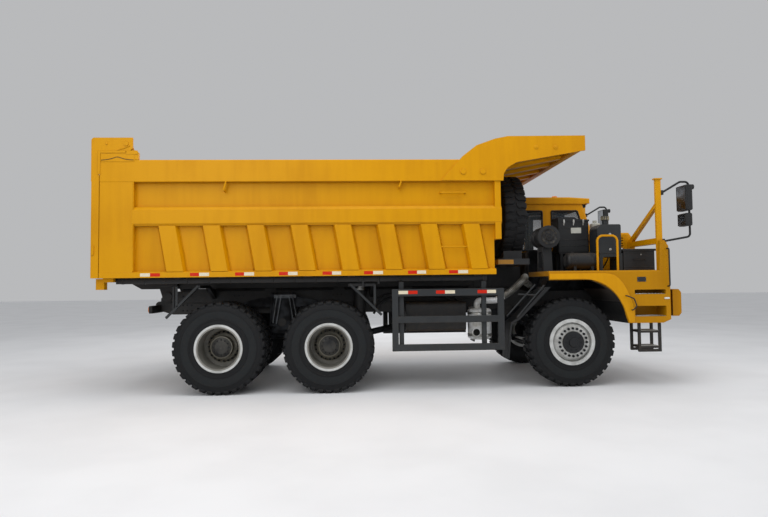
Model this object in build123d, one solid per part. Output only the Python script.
from build123d import *
from math import hypot
import os

os.makedirs("parts", exist_ok=True)

# Six-wheel off-road dump truck with a left-hand half cab, millimetres.
# Origin on the ground under the middle of the overall length and width.
# +X points forward, +Y to the truck's left, +Z up.

# ---------------------------------------------------------------- driving sizes
# Wheels and axles
TYRE_R = 685          # outer radius of a 14.00-25 tyre
TYRE_W = 375          # section width
BEAD_R = 318          # bore of the tyre and outside of the rim barrel
FLANGE_R = 355        # rim flange
TWIN_GAP = 60         # air gap between twin tyres
FRONT_AXLE_X = 2610
WHEELBASE = 3730      # front axle to middle axle
BOGIE = 1620          # middle axle to rear axle
REAR_OUTER_Y = 1660   # outer face of the outer twin
FRONT_WHEEL_Y = 1312  # middle of the front tyre
KINGPIN_Y = 1000
STEER_ARM = 260       # kingpin to tie rod, rearward
AXLE_Z = TYRE_R
MIDDLE_AXLE_X = FRONT_AXLE_X - WHEELBASE
REAR_AXLE_X = MIDDLE_AXLE_X - BOGIE
BOGIE_X = (MIDDLE_AXLE_X + REAR_AXLE_X) / 2
OUTER_TWIN_Y = REAR_OUTER_Y - TYRE_W / 2
INNER_TWIN_Y = OUTER_TWIN_Y - TYRE_W - TWIN_GAP
HUB_PLANE_Y = (OUTER_TWIN_Y + INNER_TWIN_Y) / 2

# Chassis frame
RAIL_Y = 430          # middle of each rail
RAIL_W = 100
RAIL_WEB = 14         # the rails are channels, open to the inside
RAIL_FLANGE = 20
RAIL_BOTTOM = 1140
RAIL_TOP = 1520
FRAME_REAR = -3960
PAD_H = 40            # rubber pads that the body comes down on

# Body pivot and hoist
PIVOT_X = -3820
PIVOT_Z = 1440
PIVOT_R = 45
FOOT_PLATE = 14       # hoist foot plate on the rail
COLLAR = 8            # collar round the barrel's mouth
HOIST_FOOT = (-700, 540)
HOIST_EYE = (-630, 1665)
HOIST_STAGES = 3
HOIST_R = 105         # barrel outside radius
STAGE_STEP = 18       # radius lost from one stage to the next
HOIST_Y = RAIL_Y + RAIL_W / 2 + FOOT_PLATE + COLLAR + HOIST_R + 3
ROD_R = HOIST_R - HOIST_STAGES * STAGE_STEP - 6
EAR_GAP = ROD_R + 1   # middle of the body eye to its ear

# Dump body
BODY_REAR = -4450
BODY_FRONT = 1400
BODY_HALF_W = 1700    # outside of rails and ribs
SKIN = 20             # body plate
SKIN_Y = 1600         # outside of the side skin
FLOOR_Z = 1800        # top of the floor
FLOOR_T = 25          # floor plate
BODY_BOTTOM = 1740
SIDE_TOP = 3480
RAIL_LOW = 3150       # underside of the top rail
BELT_LOW = 2500       # belt rail half way up
BELT_HIGH = 2780
POST_FRONT = -3970    # front edge of the rear corner post
BELT_X0 = -3600       # top rear corner of the first slanted rib
RIB_W = 240
RIB_PITCH = 645
RIB_LEAN = 120
RIB_COUNT = 8
RIB_FLARE = 30        # a rib is wider by this at each side where it meets the skin
CANOPY_FRONT = 2800
CANOPY_TOP = 3840
BEAM_BOTTOM = RAIL_TOP + PAD_H + 6

# Tailgate
GATE_T = 110
GATE_TOP = 3260
GATE_PIVOT = (BODY_REAR + 380, SIDE_TOP + 240)
GATE_PIN_R = 24
GATE_ARM_T = 24       # hinge arm, the outermost plate at the corner
GATE_ARM_LOW = 3606   # underside of the arm over the post cap

# Cab
CAB_REAR = 2080
CAB_NOSE = 3880       # foot of the cab's front
CAB_INNER_Y = 350     # wall next to the engine
CAB_OUTER_Y = 1550    # wall with the door
CAB_FLOOR = 1550
CAB_EAVES = 3080
CAB_ROOF = 3200
CAB_WALL = 60
GLASS_T = 8
WINDOW_R = 50         # corners of the windows
DOOR_R = 45
DOOR_GAP = 8

# Front end
DECK_Z = 1780
DECK_T = 80
FENDER_Y = 1600
FENDER_INNER_Y = 560
NOSE_X = 4120         # front panel
NOSE_T = 60           # depth of the grille panel
FRAME_FRONT = NOSE_X - NOSE_T
BUMPER_X = 4390       # front of the bumper
HOOD_TOP = 2450

FIT = 0.3             # running clearance at pins and bores


# ---------------------------------------------------------------- form helpers
def box(x0, x1, y0, y1, z0, z1):
    """Block between two opposite corners."""
    middle = Pos((x0 + x1) / 2, (y0 + y1) / 2, (z0 + z1) / 2)
    return middle * Box(abs(x1 - x0), abs(y1 - y0), abs(z1 - z0))


def profile_face(outline, corner=0):
    """Flat face from a list of points, its corners rounded."""
    face = Polygon(*outline, align=None)
    return fillet(face.vertices(), corner) if corner else face


def side_plate(outline, y0, y1, corner=0):
    """Plate with a side-view outline of (x, z) points, from y0 to y1."""
    return standing(profile_face(outline, corner), y0, y1)


def standing(face, y0, y1):
    """Side-view face given its thickness across the truck."""
    return extrude(Plane.XZ.offset(-y0) * face, y1 - y0, dir=(0, 1, 0))


def cross_plate(outline, x0, x1, corner=0):
    """Plate with a front-view outline of (y, z) points, from x0 to x1."""
    return extrude(Plane.YZ.offset(x0) * profile_face(outline, corner), x1 - x0, dir=(1, 0, 0))


def flat_plate(outline, z0, z1, corner=0):
    """Plate with a top-view outline of (x, y) points, from z0 to z1."""
    return extrude(Plane.XY.offset(z0) * profile_face(outline, corner), z1 - z0, dir=(0, 0, 1))


def pressing(x0, x1, y0, y1, z0, z1, radius, axis=None):
    """Block with rounded edges: those along one axis, or all of them."""
    block = box(x0, x1, y0, y1, z0, z1)
    edges = block.edges().filter_by(axis) if axis else block.edges()
    return fillet(edges, radius)


def drum(start, end, radius, rounding):
    """Round vessel between two points with rounded ends."""
    vessel = bar(start, end, radius)
    return fillet(vessel.edges().filter_by(GeomType.CIRCLE), rounding)


def bar(start, end, radius):
    """Round bar between two points."""
    p, q = Vector(*start), Vector(*end)
    align = (Align.CENTER, Align.CENTER, Align.MIN)
    return Plane(origin=p, z_dir=q - p) * Cylinder(radius, (q - p).length, align=align)


def pipe(points, radius, bend):
    """Bent round tube with equal bend radii."""
    path = FilletPolyline(*points, radius=bend)
    return sweep(Plane(origin=path @ 0, z_dir=path % 0) * Circle(radius), path)


def turned(profile, x, y, z):
    """Ring turned about a cross axis; profile holds (radius, sideways) points."""
    return Pos(x, y, z) * revolve(Polygon(*profile, align=None), Axis.Y)


def fuse(*shapes):
    """One shape from many."""
    flat = []
    for shape in shapes:
        flat.extend(shape if isinstance(shape, list) else [shape])
    return Part() + flat


def both(shape):
    """The shape and its mirror image on the other side of the truck."""
    return fuse(shape, mirror(shape, about=Plane.XZ))


def other_side(shape):
    """Mirror image on the other side of the truck."""
    return mirror(shape, about=Plane.XZ)


# ---------------------------------------------------------------- wheels
RIM_HALF = TYRE_W / 2 - 22    # inside of the rim flanges
SIDEWALL_R = 530              # radius at which the tyre is widest


def tyre(x, y):
    """Tyre ring: bulged sidewalls, square shoulders and a bore seated on the rim barrel."""
    half = TYRE_W / 2
    bead = (FLANGE_R + 20, RIM_HALF)
    widest = (SIDEWALL_R, half)
    shoulder = (TYRE_R - 45, half - 8)
    section = make_face(
        [
            Polyline((TYRE_R, 0), (BEAD_R, 0), (BEAD_R, RIM_HALF), bead),
            TangentArc(widest, bead, tangent=(-1, 0)),
            TangentArc(widest, shoulder, tangent=(1, 0)),
            Polyline(shoulder, (TYRE_R, half - 40), (TYRE_R, 0)),
        ]
    )
    section += mirror(section, about=Plane.XZ)
    return Pos(x, y, AXLE_Z) * revolve(section, Axis.Y)


FLANGE_T = 16
BARREL_T = 18
DRUM_R = 215                  # brake drum
SPINDLE_R = 70
LEAF_T = 20                   # one spring leaf


def front_rim(y):
    """Front rim, its bulged disc and hub; outward is +Y."""
    out = RIM_HALF + FLANGE_T
    inner_r = BEAD_R - BARREL_T
    profile = [
        (SPINDLE_R + FIT, -150),
        (DRUM_R, -150),
        (DRUM_R, 40),
        (162, 60),
        (162, 95),
        (225, 150),
        (inner_r, 95),
        (inner_r, -out),
        (FLANGE_R, -out),
        (FLANGE_R, -RIM_HALF),
        (BEAD_R, -RIM_HALF),
        (BEAD_R, RIM_HALF),
        (FLANGE_R, RIM_HALF),
        (FLANGE_R, out),
        (inner_r, out),
        (inner_r, 125),
        (245, 200),
        (175, 200),
        (162, 236),
        (80, 240),
        (70, 262),
        (0, 262),
        (0, 150),
        (SPINDLE_R + FIT, 150),
    ]
    return turned(profile, FRONT_AXLE_X, y, AXLE_Z)


def rear_rims(x):
    """Twin rims, brake drum and planetary hub as one turned piece on the left."""
    out = RIM_HALF + FLANGE_T
    inner_r = BEAD_R - BARREL_T
    outer, inner = OUTER_TWIN_Y, INNER_TWIN_Y
    mid = HUB_PLANE_Y
    disc = 16
    profile = [
        (SPINDLE_R + FIT, mid - 300),
        (DRUM_R, mid - 300),
        (DRUM_R, mid - disc),
        (inner_r, mid - disc),
        (inner_r, inner - out),
        (FLANGE_R, inner - out),
        (FLANGE_R, inner - RIM_HALF),
        (BEAD_R, inner - RIM_HALF),
        (BEAD_R, inner + RIM_HALF),
        (FLANGE_R, inner + RIM_HALF),
        (FLANGE_R, inner + out),
        (BEAD_R, inner + out),
        (BEAD_R, outer - out),
        (FLANGE_R, outer - out),
        (FLANGE_R, outer - RIM_HALF),
        (BEAD_R, outer - RIM_HALF),
        (BEAD_R, outer + RIM_HALF),
        (FLANGE_R, outer + RIM_HALF),
        (FLANGE_R, outer + out),
        (inner_r, outer + out),
        (inner_r, mid + disc),
        (240, mid + disc),
        (205, mid + 60),
        (168, mid + 70),
        (165, mid + 190),
        (95, mid + 215),
        (0, mid + 220),
        (0, mid + 60),
        (SPINDLE_R + FIT, mid + 60),
    ]
    return turned(profile, x, 0, AXLE_Z)


# ---------------------------------------------------------------- chassis
CROSS_TUBE_R = 60
CROSS_TUBES_X = (-3100, -300, 500, 1350)   # plain tubular crossmembers
TRUNNION_Z = 1000
TRUNNION_R = 70
SPRING_Y = 620                             # tandem spring
FRONT_SPRING_HALF = 760
FRONT_SPRING_Y = RAIL_Y


def chassis_frame():
    """Two deep rails with crossmembers, hangers, pads and the body pivot tube."""
    y0, y1 = RAIL_Y - RAIL_W / 2, RAIL_Y + RAIL_W / 2
    notch = 110
    outline = [
        (FRAME_REAR, RAIL_BOTTOM + 60),
        (FRAME_REAR + 200, RAIL_BOTTOM),
        (1500, RAIL_BOTTOM),
        (1800, RAIL_BOTTOM + 60),
        (3500, RAIL_BOTTOM + 60),
        (3700, RAIL_BOTTOM),
        (FRAME_FRONT, RAIL_BOTTOM),
        (FRAME_FRONT, RAIL_TOP - 60),
        (2200, RAIL_TOP - 60),
        (2000, RAIL_TOP),
        (FRAME_REAR + notch, RAIL_TOP),
        (FRAME_REAR, RAIL_TOP - notch),
    ]
    rail = side_plate(outline, y0, y1)
    channel = offset(Polygon(*outline, align=None), -RAIL_FLANGE, kind=Kind.INTERSECTION)
    web = y1 - RAIL_WEB
    rail -= standing(channel, y0 - 1, web)
    pads = [
        box(x - 90, x + 90, y0, y1, RAIL_TOP, RAIL_TOP + PAD_H)
        for x in range(-3300, 1400, 1150)
    ]
    # foot plate of the hoist, hung on the rail's outside
    foot_x, foot_z = HOIST_FOOT
    foot = side_plate(
        [
            (foot_x - 170, RAIL_BOTTOM + 160),
            (foot_x + 170, RAIL_BOTTOM + 160),
            (foot_x + 70, foot_z - 60),
            (foot_x - 70, foot_z - 60),
        ],
        y1, y1 + FOOT_PLATE, corner=25,
    )
    foot_pin = bar((foot_x, y1, foot_z), (foot_x, HOIST_Y + 62, foot_z), 35)
    foot_cap = bar((foot_x, HOIST_Y + 46, foot_z), (foot_x, HOIST_Y + 62, foot_z), 55)
    # trunnion bracket of the tandem springs
    trunnion = side_plate(
        [
            (BOGIE_X - 260, RAIL_BOTTOM + 120),
            (BOGIE_X + 260, RAIL_BOTTOM + 120),
            (BOGIE_X + 120, TRUNNION_Z - 110),
            (BOGIE_X - 120, TRUNNION_Z - 110),
        ],
        y1, y1 + 50, corner=40,
    )
    # hangers of the front springs
    hangers = []
    for x in (FRONT_AXLE_X - FRONT_SPRING_HALF, FRONT_AXLE_X + FRONT_SPRING_HALF):
        hangers.append(
            side_plate(
                [
                    (x - 110, RAIL_BOTTOM + 70),
                    (x + 110, RAIL_BOTTOM + 70),
                    (x + 55, RAIL_BOTTOM - 75),
                    (x - 55, RAIL_BOTTOM - 75),
                ],
                y0 - 20, y0, corner=25,
            )
        )
        hangers.append(hangers[-1].moved(Location((0, RAIL_W + 20, 0))))
        hangers.append(bar((x, RAIL_Y - 75, RAIL_BOTTOM - 30), (x, RAIL_Y + 75, RAIL_BOTTOM - 30), 22))
    half = fuse(rail, pads, foot, foot_pin, foot_cap, trunnion, hangers)
    # outriggers under the decks: front pair to the step boxes, rear one to the right deck
    front_arm = box(3760, 3880, y1, FENDER_INNER_Y, 1260, 1420)
    rear_arm = cross_plate(
        [(-y1, 1330), (-y1, 1450), (-700, DECK_Z - DECK_T), (-860, DECK_Z - DECK_T), (-860, 1660)], 2380, 2460,
    )
    middle_z = (RAIL_BOTTOM + RAIL_TOP) / 2
    tubes = [bar((x, -web, middle_z), (x, web, middle_z), CROSS_TUBE_R) for x in CROSS_TUBES_X]
    pivot_end = RAIL_Y + RAIL_W / 2 + 110
    pivot_pin = bar((PIVOT_X, -pivot_end, PIVOT_Z), (PIVOT_X, pivot_end, PIVOT_Z), PIVOT_R)
    pivot_tube = bar((PIVOT_X, -web, PIVOT_Z), (PIVOT_X, web, PIVOT_Z), PIVOT_R + 35)
    pivot_caps = [
        bar((PIVOT_X, s * (pivot_end - 14), PIVOT_Z), (PIVOT_X, s * pivot_end, PIVOT_Z), 75)
        for s in (-1, 1)
    ]
    trunnion_shaft = bar(
        (BOGIE_X, -SPRING_Y - 70, TRUNNION_Z), (BOGIE_X, SPRING_Y + 70, TRUNNION_Z), TRUNNION_R,
    )
    tail = box(FRAME_REAR, FRAME_REAR + 40, -y0, y0, RAIL_BOTTOM + 60, RAIL_TOP - 160)
    nose = box(FRAME_FRONT - 120, FRAME_FRONT, -y0, y0, RAIL_BOTTOM, RAIL_TOP - 60)
    bogie_box = box(BOGIE_X - 150, BOGIE_X + 150, -web, web, RAIL_BOTTOM + 60, RAIL_TOP - 60)
    across = [rear_arm, pivot_pin, pivot_tube, trunnion_shaft, tail, nose, bogie_box]
    return fuse(both(half), both(front_arm), tubes, pivot_caps, across)


TOW_EYE_R = 30
TOW_EYE_Y = 760
TOW_EYE_Z = 1200


def tow_eyes():
    """Two front towing lugs on the bumper bracket and a rear clevis on the frame's tail."""
    def lug(x, y, z, root_x, width):
        tip = Pos(x, y, z) * Rot(90, 0, 0) * Cylinder(70, width)
        root = box(root_x, x, y - width / 2, y + width / 2, z - 70, z + 70)
        hole = Pos(x, y, z) * Rot(90, 0, 0) * Cylinder(TOW_EYE_R, width + 2)
        return tip + root - hole

    front = lug(BUMPER_X + 75, TOW_EYE_Y, TOW_EYE_Z, BUMPER_X, 50)
    rear_x = FRAME_REAR - 150
    rear_z = RAIL_BOTTOM + 140
    rear = fuse(
        lug(rear_x, 75, rear_z, FRAME_REAR, 40),
        lug(rear_x, -75, rear_z, FRAME_REAR, 40),
    )
    return fuse(both(front), rear)


def front_axle():
    """Dropped I-beam with a kingpin boss at each end."""
    z = AXLE_Z
    lower, upper = z - 150, z - 20
    outline = [
        (0, lower), (560, lower), (KINGPIN_Y - 150, z - 70), (KINGPIN_Y, z - 70),
        (KINGPIN_Y, z + 70), (KINGPIN_Y - 130, z + 70), (560, upper), (0, upper),
    ]
    beam = cross_plate(outline, FRONT_AXLE_X - 65, FRONT_AXLE_X + 65)
    pocket = [
        (0, lower + 28), (550, lower + 28), (KINGPIN_Y - 160, z - 45),
        (KINGPIN_Y - 160, z + 35), (550, upper - 28), (0, upper - 28),
    ]
    for x0, x1 in ((-66, -20), (20, 66)):
        beam -= cross_plate(pocket, FRONT_AXLE_X + x0, FRONT_AXLE_X + x1)
    boss = bar((FRONT_AXLE_X, KINGPIN_Y, z - 75), (FRONT_AXLE_X, KINGPIN_Y, z + 75), 78)
    pin = bar((FRONT_AXLE_X, KINGPIN_Y, z - 135), (FRONT_AXLE_X, KINGPIN_Y, z + 135), 28)
    seat = box(FRONT_AXLE_X - 95, FRONT_AXLE_X + 95, RAIL_Y - 55, RAIL_Y + 55, upper - 20, FRONT_SEAT_Z)
    return both(fuse(beam, boss, pin, seat))


FRONT_SEAT_Z = AXLE_Z + 100    # underside of the front spring at the axle


def leaf_pack(x, y, half, top_z, drop, leaves, width, step):
    """Curved leaf spring; each leaf below the first is shorter. drop < 0 curves up at the ends."""
    pack = []
    for i in range(leaves):
        reach = half - i * step
        fall = drop * (reach / half) ** 2
        up = top_z - i * LEAF_T
        arc_top = ThreePointArc((x - reach, 0, up - fall), (x, 0, up), (x + reach, 0, up - fall))
        low = up - LEAF_T
        arc_low = ThreePointArc((x + reach, 0, low - fall), (x, 0, low), (x - reach, 0, low - fall))
        ends = [Line(arc_top @ 1, arc_low @ 0), Line(arc_low @ 1, arc_top @ 0)]
        face = make_face([arc_top, arc_low] + ends)
        pack.append(Pos(0, y - width / 2, 0) * extrude(face, width, dir=(0, 1, 0)))
    return fuse(pack)


def front_springs():
    """Front leaf packs between the hangers, clamped on the axle beam."""
    leaves = 9
    top = FRONT_SEAT_Z + leaves * LEAF_T
    rise = RAIL_BOTTOM - 30 + 10 - top
    pack = leaf_pack(FRONT_AXLE_X, FRONT_SPRING_Y, FRONT_SPRING_HALF - 22.2, top, -rise, leaves, 90, 70)
    plate = box(FRONT_AXLE_X - 95, FRONT_AXLE_X + 95, RAIL_Y - 55, RAIL_Y + 55, top, top + 26)
    bolts = [
        bar((FRONT_AXLE_X + dx, RAIL_Y + dy, AXLE_Z - 30), (FRONT_AXLE_X + dx, RAIL_Y + dy, top + 45), 11)
        for dx in (-78, 78)
        for dy in (-67, 67)
    ]
    straps = [
        box(FRONT_AXLE_X + dx - 14, FRONT_AXLE_X + dx + 14, RAIL_Y - 80, RAIL_Y + 80, top + 26, top + 45)
        for dx in (-78, 78)
    ]
    return both(fuse(pack, plate, bolts, straps))


AXLE_TUBE_R = 110
DIFF_R = 270
BRAKE_CHAMBER_R = 75
SHAFT_Z = AXLE_Z + 40
SHAFT_FRONT = 425     # axle centre to its front flange
SHAFT_BACK = 305      # axle centre to its rear flange
TANDEM_TOP = 1430     # top of the tandem leaf pack
TANDEM_LEAVES = 8
TANDEM_DROP = 210
TANDEM_REACH = BOGIE / 2 + 90
TANDEM_SEAT_Z = TANDEM_TOP - LEAF_T - TANDEM_DROP - 0.5


def drive_axle(x):
    """Banjo housing with a differential bowl, tapered arms and spindles."""
    stop = HUB_PLANE_Y - 300 - 12
    profile = [
        (0, -stop - 300), (SPINDLE_R, -stop - 300), (SPINDLE_R, -stop), (AXLE_TUBE_R, -stop),
        (AXLE_TUBE_R, -330), (DIFF_R - 20, -150), (DIFF_R, -60), (DIFF_R, 60),
        (DIFF_R - 20, 150), (AXLE_TUBE_R, 330), (AXLE_TUBE_R, stop), (SPINDLE_R, stop),
        (SPINDLE_R, stop + 300), (0, stop + 300),
    ]
    housing = turned(profile, x, 0, AXLE_Z)
    nose = bar((x + 100, 0, SHAFT_Z), (x + 400, 0, SHAFT_Z), 120)
    flange = bar((x + 400, 0, SHAFT_Z), (x + SHAFT_FRONT, 0, SHAFT_Z), 90)
    back = bar((x - SHAFT_BACK, 0, SHAFT_Z), (x - 150, 0, SHAFT_Z), 90)
    chambers = []
    for s in (-1, 1):
        chamber_x, chamber_z = x - 180, AXLE_Z + 60
        inner, outer = s * 755, s * 905
        chambers.append(drum((chamber_x, inner, chamber_z), (chamber_x, outer, chamber_z), BRAKE_CHAMBER_R, 25))
        chambers.append(bar((chamber_x, s * 830, chamber_z), (x, s * 830, AXLE_Z), 32))
    seats = [
        box(x - 95, x + 95, s * SPRING_Y - 60, s * SPRING_Y + 60, AXLE_Z + 60, TANDEM_SEAT_Z)
        for s in (-1, 1)
    ]
    return fuse(housing, nose, flange, back, seats, chambers)


def tandem_axles():
    """Middle and rear driven axle housings."""
    return fuse(drive_axle(MIDDLE_AXLE_X), drive_axle(REAR_AXLE_X))


def tandem_springs():
    """Inverted leaf packs on trunnion saddles, U-bolts and torque rods."""
    leaves = TANDEM_LEAVES
    top = TANDEM_TOP
    pack = leaf_pack(BOGIE_X, SPRING_Y, TANDEM_REACH, top, TANDEM_DROP, leaves, 100, 85)
    saddle = box(BOGIE_X - 190, BOGIE_X + 190, SPRING_Y - 62, SPRING_Y + 62, TRUNNION_Z, top - leaves * LEAF_T)
    saddle += Pos(BOGIE_X, SPRING_Y, TRUNNION_Z) * Rot(90, 0, 0) * Cylinder(135, 124)
    saddle -= bar((BOGIE_X, SPRING_Y - 80, TRUNNION_Z), (BOGIE_X, SPRING_Y + 80, TRUNNION_Z), TRUNNION_R)
    plate = box(BOGIE_X - 215, BOGIE_X + 215, SPRING_Y - 80, SPRING_Y + 80, top - 4, top + 34)
    bolts = []
    for side in (-1, 1):
        for dx in (110, 160):
            for dy in (-68, 68):
                head = (BOGIE_X + side * dx, SPRING_Y + dy, top + 60)
                foot = (BOGIE_X + side * (dx + 30), SPRING_Y + dy, TRUNNION_Z - 60)
                bolts.append(bar(head, foot, 13))
        bolts.append(
            box(
                BOGIE_X + side * 85, BOGIE_X + side * 205, SPRING_Y - 82, SPRING_Y + 82, TRUNNION_Z - 62,
                TRUNNION_Z - 30,
            ),
        )
    rods = []
    for x in (MIDDLE_AXLE_X, REAR_AXLE_X):
        toward = 1 if x < BOGIE_X else -1
        near = (x + toward * (AXLE_TUBE_R + 56), SPRING_Y - 20, AXLE_Z)
        far = (BOGIE_X - toward * 130, SPRING_Y - 20, TRUNNION_Z - 130)
        rods.append(bar(near, far, 28))
        rods.append(Pos(*near) * Rot(90, 0, 0) * Cylinder(55, 70))
        rods.append(Pos(*far) * Rot(90, 0, 0) * Cylinder(55, 70))
    hanger = box(BOGIE_X - 165, BOGIE_X + 165, SPRING_Y - 60, SPRING_Y + 20, TRUNNION_Z - 185, TRUNNION_Z - 100)
    return both(fuse(pack, saddle, plate, bolts, rods, hanger))


def propeller_shafts():
    """Shaft from the gearbox to the middle axle and from there to the rear axle."""
    yoke = 50
    shafts = []
    runs = (
        (MIDDLE_AXLE_X + SHAFT_FRONT, SHAFT_Z, GEARBOX_REAR, GEARBOX_Z),
        (REAR_AXLE_X + SHAFT_FRONT, SHAFT_Z, MIDDLE_AXLE_X - SHAFT_BACK, SHAFT_Z),
    )
    for x0, z0, x1, z1 in runs:
        shafts.append(bar((x0 + yoke - 5, 0, z0), (x1 - yoke + 5, 0, z1), 55))
        shafts.append(bar((x0, 0, z0), (x0 + yoke, 0, z0), 85))
        shafts.append(bar((x1 - yoke, 0, z1), (x1, 0, z1), 85))
    return fuse(shafts)


# ---------------------------------------------------------------- power pack
ENGINE_REAR = 2300
GEARBOX_REAR = 1500
GEARBOX_Z = 1180


def engine_block():
    """Engine and gearbox as one plain block between the rails."""
    engine = box(ENGINE_REAR, FRAME_FRONT - 150, -340, 300, 1050, 2150)
    bell = bar((ENGINE_REAR - 150, 0, 1300), (ENGINE_REAR, 0, 1300), 300)
    gearbox = cross_plate([(-260, 960), (260, 960), (300, 1450), (-300, 1450)], GEARBOX_REAR, ENGINE_REAR - 150)
    web = RAIL_Y + RAIL_W / 2 - RAIL_WEB
    mounts = [box(x - 60, x + 60, -web, web, 1300, 1360) for x in (2450, 3650)]
    return fuse(engine, bell, gearbox, mounts)


LOUVRE_PITCH = 45
SHELF_Z = 2310        # shelf of the coolant bottle on the hood's right side
BOTTLE = (3300, 3450, -690, -560)


def engine_hood():
    """Hood over the engine with a raked nose, grille bars, side louvres and the bottle shelf."""
    y0, y1 = -540, CAB_INNER_Y - 15
    outer = [
        (NOSE_X, RAIL_BOTTOM + 30), (NOSE_X, 2300), (NOSE_X - 110, HOOD_TOP),
        (2950, HOOD_TOP), (2950, 2200), (3300, 2200), (3300, DECK_Z + 30),
        (NOSE_X - 260, DECK_Z + 30), (NOSE_X - 260, RAIL_TOP), (NOSE_X - NOSE_T, RAIL_TOP),
        (NOSE_X - NOSE_T, RAIL_BOTTOM + 30),
    ]
    hood = side_plate(outer, y0, y1)
    seams = hood.edges().filter_by(lambda e: abs(e.tangent_at(0.5).Y) < 0.1)
    bent = seams.filter_by(lambda e: e.center().X > NOSE_X - NOSE_T + 1 or e.center().Z > HOOD_TOP - 1)
    hood = fillet(bent, 40)
    hollow = [
        (NOSE_X - NOSE_T, RAIL_BOTTOM), (NOSE_X - NOSE_T, 2290), (NOSE_X - 130, HOOD_TOP - 40),
        (2900, HOOD_TOP - 40), (2900, RAIL_BOTTOM),
    ]
    hood -= side_plate(hollow, y0 + 30, y1 - 30)
    hood -= cross_plate([(y0 + 90, 1300), (y1 - 90, 1300), (y1 - 90, 2230), (y0 + 90, 2230)],
                        NOSE_X - 80, NOSE_X + 10, corner=40)
    slats = [
        side_plate([(NOSE_X - 50, z), (NOSE_X - 10, z + 14), (NOSE_X - 10, z + 26), (NOSE_X - 50, z + 26)],
                   y0 + 88, y1 - 88)
        for z in range(1370, 2190, 70)
    ]
    for z in range(2120, 2380, LOUVRE_PITCH):
        hood -= box(3520, 3900, y0 - 1, y0 + 31, z, z + 18)
    x0, x1, shelf_y, _ = BOTTLE
    shelf = box(x0 - 10, x1 + 10, shelf_y, y0, SHELF_Z, SHELF_Z + 20)
    return fuse(hood, slats, shelf)


def coolant_tank():
    """Coolant bottle with a screw cap on its shelf beside the hood."""
    x0, x1, y0, y1 = BOTTLE
    low = SHELF_Z + 20
    bottle = pressing(x0, x1, y0, y1, low, low + 270, 28, Axis.Z)
    bottle = fillet(bottle.edges().group_by(Axis.Z)[-1], 20)
    x, y = (x0 + x1) / 2, (y0 + y1) / 2
    cap = bar((x, y, low + 270), (x, y, low + 320), 34)
    return fuse(bottle, cap)


# ---------------------------------------------------------------- front end
STEP_DEPTH = 300


ARCH_TOP = DECK_Z - 140
COLUMN = (3960, 4110)     # upright at the front corner of the deck
STEPS = (
    # low z, high z of each step recess
    (1070, 1230),
    (1410, 1480),
)


def fender_right():
    """Right-hand fender: deck, wheel-arch band, step box, nose panel and corner column."""
    y_out, y_in = -FENDER_Y, -FENDER_INNER_Y
    outline = [
        (2230, ARCH_TOP), (2230, DECK_Z), (NOSE_X, DECK_Z), (NOSE_X, 1020),
        (NOSE_X - 120, 970), (3440, 970), (3340, 1300), (2900, ARCH_TOP - 2),
    ]
    shell = side_plate(outline, y_out, y_in)
    rim = shell.edges().filter_by(Axis.X).filter_by(lambda e: e.center().Z > DECK_Z - 1)
    shell = fillet(rim.sort_by(Axis.Y)[0], 30)
    arch = make_face(
        [
            Line((2150, ARCH_TOP), (2790, ARCH_TOP)),
            ThreePointArc((2790, ARCH_TOP), (3210, 1460), (3410, 1090)),
            Polyline((3410, 1090), (3470, 900), (2150, 900), (2150, ARCH_TOP)),
        ]
    )
    shell -= standing(arch, y_out, y_in)
    # thin the deck over the wheel behind the outer band
    shell -= box(2100, 3190, y_out + 120, y_in + 10, 1500, DECK_Z - DECK_T)
    for low, high in STEPS:
        corners = [(3560, low), (NOSE_X - 70, low), (NOSE_X - 70, high), (3560, high)]
        shell -= side_plate(corners, y_out - 1, y_out + STEP_DEPTH, corner=20)
    # hollow of the step box, open below
    shell -= box(3620, NOSE_X - 60, y_out + STEP_DEPTH + 60, y_in - 60, 900, DECK_Z - DECK_T)
    x0, x1 = COLUMN
    column = side_plate([(x0, DECK_Z - 30), (x1, DECK_Z - 30), (x1, 2150), (x1 - 60, 2240), (x0 + 20, 2240)],
                        y_out + 2, y_out + 70, corner=14)
    return fuse(shell, column)


def fender_left():
    """Left fender: the right one mirrored, cut back round the cab."""
    gap = 6
    cab_room = box(
        CAB_REAR - gap, CAB_NOSE + gap, CAB_INNER_Y - 400, CAB_OUTER_Y + gap, CAB_FLOOR - gap, CAB_ROOF,
    )
    return other_side(fender_right()) - cab_room


LAMP_Y = 1000         # middle of each headlamp
LAMP_R = 30


def lamp_corners(s, inset=0):
    """Outline (y, z) of a headlamp opening, moved in by inset."""
    half_w, half_h, z = 150 - inset, 90 - inset, 1270
    y = s * LAMP_Y
    return [
        (y - half_w, z - half_h), (y + half_w, z - half_h), (y + half_w, z + half_h),
        (y - half_w, z + half_h),
    ]


def front_bumper():
    """Pressed bumper beam with chamfered edges on two brackets."""
    outline = [
        (BUMPER_X - 140, 1060), (BUMPER_X - 40, 1060), (BUMPER_X, 1110),
        (BUMPER_X, 1430), (BUMPER_X - 40, 1480), (BUMPER_X - 140, 1480),
    ]
    beam = side_plate(outline, -1420, 1420, corner=14)
    beam -= box(BUMPER_X - 141, BUMPER_X - 40, -1390, 1390, 1085, 1455)
    for s in (-1, 1):
        beam -= cross_plate(lamp_corners(s), BUMPER_X - 60, BUMPER_X + 1, corner=LAMP_R)
    brackets = [box(NOSE_X, BUMPER_X - 38, s * 760 - 60, s * 760 + 60, 1150, 1400) for s in (-1, 1)]
    return fuse(beam, brackets)


LADDER_LOW = 530


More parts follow.
